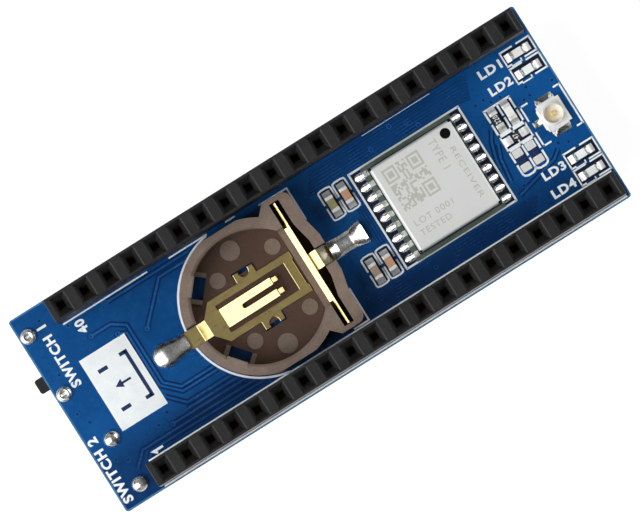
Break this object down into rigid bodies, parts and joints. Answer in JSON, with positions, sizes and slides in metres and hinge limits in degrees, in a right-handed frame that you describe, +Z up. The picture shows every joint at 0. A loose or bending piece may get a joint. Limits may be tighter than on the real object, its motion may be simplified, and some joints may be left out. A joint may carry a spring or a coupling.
{
  "type": "gps module",
  "caption": "Stacking positioning receiver board with socket strips, an empty coin-cell holder, a shielded receiver, a coaxial antenna socket, indicators, a slide switch and a push button.",
  "frame": {"origin": "middle of the footprint, in the plane of the pin tips", "axes": "+X along the board to the antenna end, +Y to the slide-switch side, +Z up, out of the antenna socket"},
  "size_m": [0.0562, 0.0208, 0.0181],
  "materials": {
    "solder_mask": "glossy blue solder mask on glass-epoxy",
    "strip_plastic": "moulded, satin black",
    "contact_metal": "plated spring metal",
    "solder": "bright reflowed solder",
    "holder_plastic": "moulded taupe, fine grain",
    "spring_brass": "plated spring metal, satin",
    "carrier_green": "dark green solder mask",
    "shield_metal": "satin nickel-silver sheet",
    "chip_black": "black moulding or glaze",
    "ceramic_tan": "fired ceramic",
    "ceramic_olive": "fired ceramic",
    "ceramic_grey": "fired ceramic",
    "ceramic_white": "white ceramic",
    "insulator": "cream moulding",
    "plated_metal": "tin or silver plate",
    "gold_plate": "gold plate",
    "lens": "milky clear resin"
  },
  "bodies": {
    "board": {"circuit_board": "solder_mask", "socket_strip_1": "strip_plastic", "socket_strip_2": "strip_plastic", "socket_contacts_1": "contact_metal", "socket_contacts_2": "contact_metal", "pin_solder_1": "solder", "pin_solder_2": "solder", "battery_holder": "holder_plastic", "battery_floor_contact": "spring_brass", "battery_side_contact": "spring_brass", "battery_solder": "solder", "receiver_board": "carrier_green", "receiver_shield": "shield_metal", "receiver_solder": "solder", "receiver_chip": "chip_black", "receiver_oscillator": "shield_metal", "receiver_filter": "ceramic_tan", "receiver_amplifier": "chip_black", "receiver_passives": "ceramic_tan", "antenna_base": "insulator", "antenna_shell": "plated_metal", "antenna_pin": "gold_plate", "antenna_solder": "solder", "capacitor_1": "ceramic_olive", "capacitor_2": "ceramic_tan", "capacitor_3": "ceramic_grey", "capacitor_4": "ceramic_tan", "capacitor_ends": "solder", "resistor_1": "chip_black", "resistor_2": "chip_black", "inductor_1": "ceramic_white", "resistor_ends": "solder", "led_1": "lens", "led_2": "lens", "led_3": "lens", "led_4": "lens", "led_bases": "ceramic_white", "led_ends": "solder", "chip_solder": "solder", "spare_pads": "solder", "switch_shell": "plated_metal", "switch_base": "strip_plastic", "switch_terminals": "plated_metal", "switch_solder": "solder", "button_body": "strip_plastic", "button_cover": "plated_metal", "button_dome": "plated_metal", "button_leads": "plated_metal", "button_solder": "solder", "series_resistors": "chip_black", "series_ends": "solder"},
    "lever": {"switch_lever": "strip_plastic", "switch_wiper": "gold_plate"},
    "plunger": {"button_plunger": "strip_plastic"}
  },
  "joints": [
    {"name": "switch_slide", "type": "slide", "parent": "board", "child": "lever", "axis": [0, 1, 0], "range_m": [0, 0.0026]},
    {"name": "button_press", "type": "slide", "parent": "board", "child": "plunger", "axis": [0, 0, 1], "range_m": [0, 0.00025], "stiffness_N_per_m": 6000, "deforming": ["button_dome"]}
  ]
}
